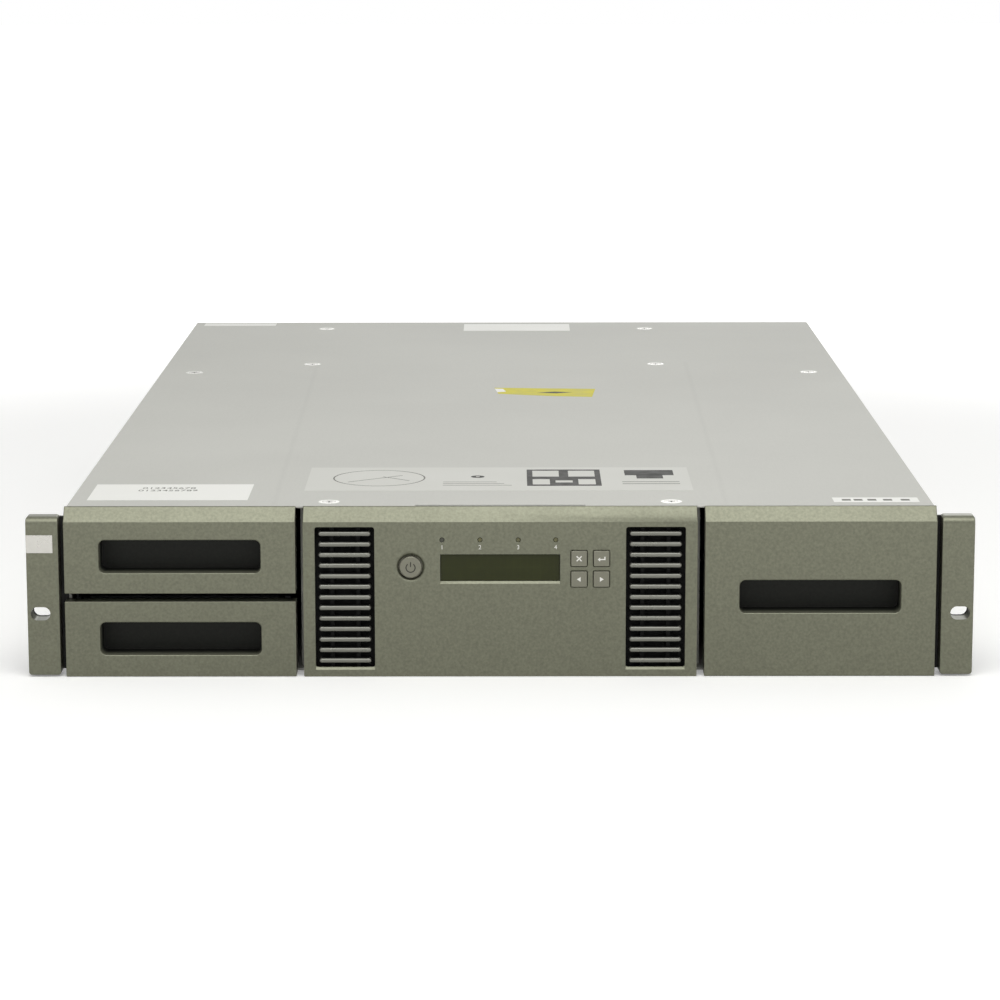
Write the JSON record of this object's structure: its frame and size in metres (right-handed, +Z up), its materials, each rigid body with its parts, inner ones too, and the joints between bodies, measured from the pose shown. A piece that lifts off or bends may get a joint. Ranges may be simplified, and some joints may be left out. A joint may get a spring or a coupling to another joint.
{
  "type": "data tape library",
  "caption": "Low rack-mounted tape library with slide-out magazines of cartridge slots, a mailslot drawer, a travelling robot picker and a tape drive.",
  "frame": {"origin": "bottom centre of the whole assembly's box, with everything closed", "axes": "+Y from the front face to the rear, +Z up, +X to the right seen from the front"},
  "size_m": [0.4784, 0.764, 0.0867],
  "materials": {
    "case_steel": "pale grey galvanised sheet steel, satin",
    "cover_steel": "pale grey sheet steel, satin",
    "bracket_steel": "black painted steel",
    "screw_steel": "zinc plated",
    "front_plastic": "warm grey metallic paint on moulded plastic, fine texture",
    "vent_plastic": "pale grey moulded plastic",
    "foam_black": "black open foam",
    "display_glass": "dark olive display window, polished",
    "display_body": "display module",
    "light_pipe": "clear light pipe, unlit",
    "key_plastic": "moulded plastic, satin",
    "board_green": "green circuit board",
    "magazine_plastic": "dark grey moulded plastic",
    "track_steel": "pale grey metal",
    "rail_steel": "ground steel",
    "gear_plastic": "natural acetal",
    "carriage_aluminium": "bead blasted aluminium",
    "motor_black": "black motor body",
    "screw_brass": "brass lead screw",
    "drive_grey": "plain grey metal",
    "drive_black": "black moulded plastic",
    "handle_green": "blue-green moulded plastic",
    "psu_steel": "plain sheet steel"
  },
  "bodies": {
    "case": {"floor_pan": "case_steel", "side_walls": "case_steel", "top_cover": "cover_steel", "cover_screws": "screw_steel", "cover_brace": "case_steel", "bay_walls": "case_steel", "rear_frame": "case_steel", "front_bulkhead": "case_steel", "rack_brackets": "bracket_steel", "bracket_screws": "screw_steel", "left_ear_cover": "front_plastic", "right_ear_cover": "front_plastic", "control_panel": "front_plastic", "vent_grilles": "vent_plastic", "vent_filters": "foam_black", "lcd_window": "display_glass", "lcd_module": "display_body", "led_light_pipes": "light_pipe", "panel_board": "board_green", "magazine_tracks": "track_steel", "aisle_rails": "rail_steel", "travel_rack": "gear_plastic", "upper_bay_blank": "drive_grey", "psu_case": "psu_steel", "power_inlet": "drive_black", "psu_fan_frame": "drive_black", "controller_board": "board_green", "ethernet_jack": "screw_steel"},
    "power_button": {"power_button": "key_plastic"},
    "cancel_key": {"cancel_key": "key_plastic"},
    "enter_key": {"enter_key": "key_plastic"},
    "previous_key": {"previous_key": "key_plastic"},
    "next_key": {"next_key": "key_plastic"},
    "left_magazine": {"left_magazine_bezel": "front_plastic", "left_magazine_casing": "magazine_plastic", "left_magazine_dividers": "magazine_plastic", "left_magazine_shelves": "magazine_plastic"},
    "mailslot": {"mailslot_bezel": "front_plastic", "mailslot_tray": "magazine_plastic"},
    "right_magazine": {"right_magazine_bezel": "front_plastic", "right_magazine_casing": "magazine_plastic", "right_magazine_dividers": "magazine_plastic", "right_magazine_shelves": "magazine_plastic"},
    "robot_carriage": {"robot_carriage": "carriage_aluminium", "robot_motors": "motor_black"},
    "travel_pinion": {"travel_pinion": "gear_plastic"},
    "turn_idler": {"turn_idler": "gear_plastic"},
    "turn_pinion": {"turn_pinion": "gear_plastic"},
    "turntable": {"turntable": "gear_plastic", "lift_posts": "rail_steel"},
    "lift_screw": {"lift_screw": "screw_brass"},
    "picker": {"picker_tray": "carriage_aluminium"},
    "gripper": {"gripper": "drive_black"},
    "drive_sled": {"drive_bezel": "drive_black", "drive_case": "drive_grey", "drive_tray": "drive_grey", "drive_faceplate": "drive_grey", "drive_handle": "handle_green", "drive_thumbscrews": "screw_steel"},
    "psu_fan_rotor": {"psu_fan_rotor": "drive_black"}
  },
  "joints": [
    {"name": "left_magazine_slide", "type": "slide", "parent": "case", "child": "left_magazine", "axis": [0, -1, 0], "range_m": [0, 0.475]},
    {"name": "mailslot_slide", "type": "slide", "parent": "left_magazine", "child": "mailslot", "axis": [0, -1, 0], "range_m": [0, 0.122]},
    {"name": "right_magazine_slide", "type": "slide", "parent": "case", "child": "right_magazine", "axis": [0, -1, 0], "range_m": [0, 0.475]},
    {"name": "power_button_press", "type": "slide", "parent": "case", "child": "power_button", "axis": [0, 1, 0], "range_m": [0, 0.0006], "stiffness_N_per_m": 300, "springref_m": -0.001},
    {"name": "cancel_key_press", "type": "slide", "parent": "case", "child": "cancel_key", "axis": [0, 1, 0], "range_m": [0, 0.0006], "stiffness_N_per_m": 300, "springref_m": -0.001},
    {"name": "enter_key_press", "type": "slide", "parent": "case", "child": "enter_key", "axis": [0, 1, 0], "range_m": [0, 0.0006], "stiffness_N_per_m": 300, "springref_m": -0.001},
    {"name": "previous_key_press", "type": "slide", "parent": "case", "child": "previous_key", "axis": [0, 1, 0], "range_m": [0, 0.0006], "stiffness_N_per_m": 300, "springref_m": -0.001},
    {"name": "next_key_press", "type": "slide", "parent": "case", "child": "next_key", "axis": [0, 1, 0], "range_m": [0, 0.0006], "stiffness_N_per_m": 300, "springref_m": -0.001},
    {"name": "robot_travel", "type": "slide", "parent": "case", "child": "robot_carriage", "axis": [0, 1, 0], "range_m": [-0.165, 0.165]},
    {"name": "travel_pinion_spin", "type": "hinge", "parent": "robot_carriage", "child": "travel_pinion", "pos_m": [-0.092, -0.0897, 0.004], "axis": [0, 0, 1], "range_deg": [-1060, 1060]},
    {"name": "robot_turn", "type": "hinge", "parent": "robot_carriage", "child": "turntable", "pos_m": [0, -0.1317, 0.009], "axis": [0, 0, 1], "range_deg": [-90, 90]},
    {"name": "turn_idler_spin", "type": "hinge", "parent": "robot_carriage", "child": "turn_idler", "pos_m": [0.06714, -0.16301, 0.009], "axis": [0, 0, 1], "range_deg": [-285, 285]},
    {"name": "turn_pinion_spin", "type": "hinge", "parent": "robot_carriage", "child": "turn_pinion", "pos_m": [0.08987, -0.17361, 0.009], "axis": [0, 0, 1], "range_deg": [-725, 725]},
    {"name": "robot_lift", "type": "slide", "parent": "turntable", "child": "picker", "axis": [0, 0, 1], "range_m": [0, 0.047]},
    {"name": "lift_screw_spin", "type": "hinge", "parent": "turntable", "child": "lift_screw", "pos_m": [0.058, -0.1317, 0.04], "axis": [0, 0, 1], "range_deg": [-5, 2125]},
    {"name": "gripper_slide", "type": "slide", "parent": "picker", "child": "gripper", "axis": [0, 1, 0], "range_m": [0, 0.107]},
    {"name": "drive_sled_slide", "type": "slide", "parent": "case", "child": "drive_sled", "axis": [0, 1, 0], "range_m": [0, 0.215]},
    {"name": "psu_fan_spin", "type": "hinge", "parent": "case", "child": "psu_fan_rotor", "pos_m": [0.182, 0.3488, 0.043], "axis": [0, 1, 0], "continuous": true}
  ],
  "couplings": [
    {"joint": "travel_pinion_spin", "follows": "robot_travel", "rad_per_m": 111.11},
    {"joint": "turn_idler_spin", "follows": "robot_turn", "ratio": -3.1111},
    {"joint": "turn_pinion_spin", "follows": "robot_turn", "ratio": 8},
    {"joint": "lift_screw_spin", "follows": "robot_lift", "rad_per_m": 785.4}
  ]
}
